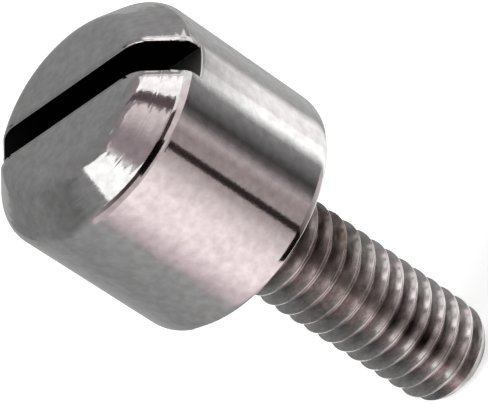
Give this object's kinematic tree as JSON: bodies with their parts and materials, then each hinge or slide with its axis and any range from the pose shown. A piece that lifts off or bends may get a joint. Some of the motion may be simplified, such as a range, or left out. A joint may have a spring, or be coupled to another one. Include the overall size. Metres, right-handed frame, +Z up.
{
  "type": "presser foot screw",
  "caption": "Steel screw with a tall round head, a driver slot across its crowned top and a fine right-hand thread, for holding a presser foot to its bar.",
  "frame": {"origin": "middle of the seat under the head, on the screw's axis", "axes": "+Z up the screw's axis from the tip to the head, +X along the driver slot"},
  "size_m": [0.0082, 0.0082, 0.0169],
  "materials": {
    "steel": "bright nickel plate over turned steel, with faint turning marks and dark oil in the thread"
  },
  "bodies": {
    "root": {"screw": "steel"}
  },
  "joints": []
}
